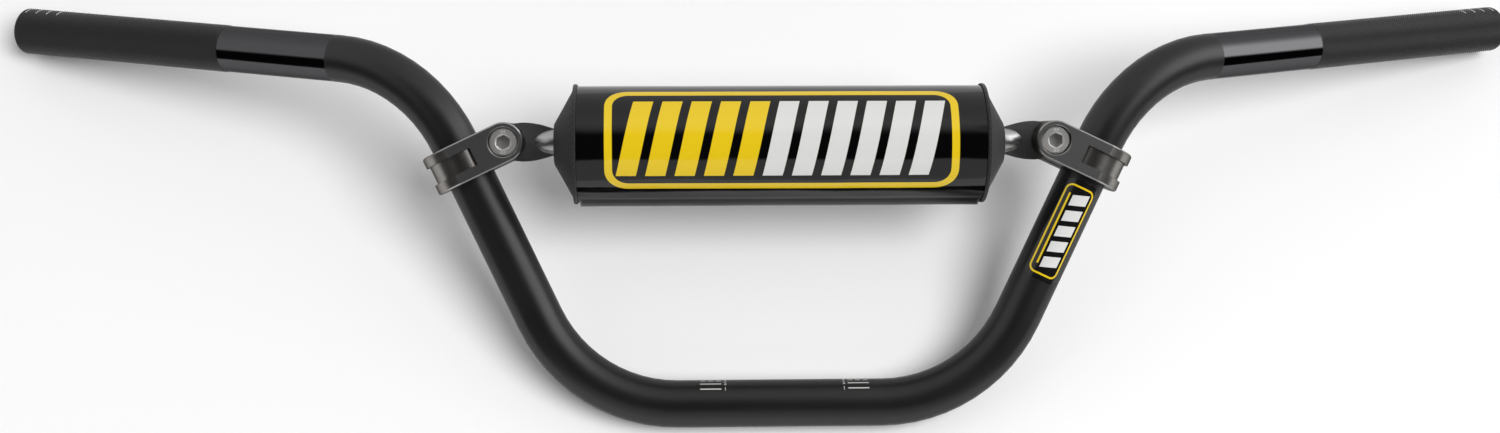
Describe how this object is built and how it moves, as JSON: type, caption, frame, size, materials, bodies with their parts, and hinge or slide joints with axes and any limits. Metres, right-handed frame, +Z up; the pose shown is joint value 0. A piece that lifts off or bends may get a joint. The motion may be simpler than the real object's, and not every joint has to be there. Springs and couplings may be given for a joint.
{
  "type": "motocross handlebar",
  "caption": "Motocross handlebar: one bent tube with a bolted crossbar, clamped to both legs by forked collars, and a round foam pad wrapped in glossy vinyl.",
  "frame": {"origin": "middle of the straight centre section, on its axis, where the fork clamps hold the bar", "axes": "+X along the centre section to the right leg, +Y to the rear, where the grips sweep, +Z up in the plane of the two legs"},
  "size_m": [0.753, 0.1191, 0.2021],
  "materials": {
    "bar_finish": "satin black anodised, bead blasted",
    "crossbar_finish": "satin grey anodised",
    "clamp_finish": "turned and machined, dark grey anodised",
    "screw_steel": "bright zinc plated",
    "foam": "closed cell foam",
    "vinyl": "glossy coated fabric",
    "end_fabric": "matt woven nylon",
    "binding_tape": "matt tape",
    "loop_tape": "napped loop",
    "hook_tape": "moulded hooks",
    "decal_film": "printed film"
  },
  "bodies": {
    "root": {"bar_tube": "bar_finish", "crossbar": "crossbar_finish", "clamp_left": "clamp_finish", "clamp_right": "clamp_finish", "clamp_screw_left": "screw_steel", "clamp_screw_right": "screw_steel", "pad_foam": "foam", "pad_cover": "vinyl", "pad_end_panel_left": "end_fabric", "pad_end_panel_right": "end_fabric", "pad_binding_left": "binding_tape", "pad_binding_right": "binding_tape", "pad_loop_strip": "loop_tape", "pad_hook_strip": "hook_tape", "leg_decal": "decal_film"}
  },
  "joints": []
}
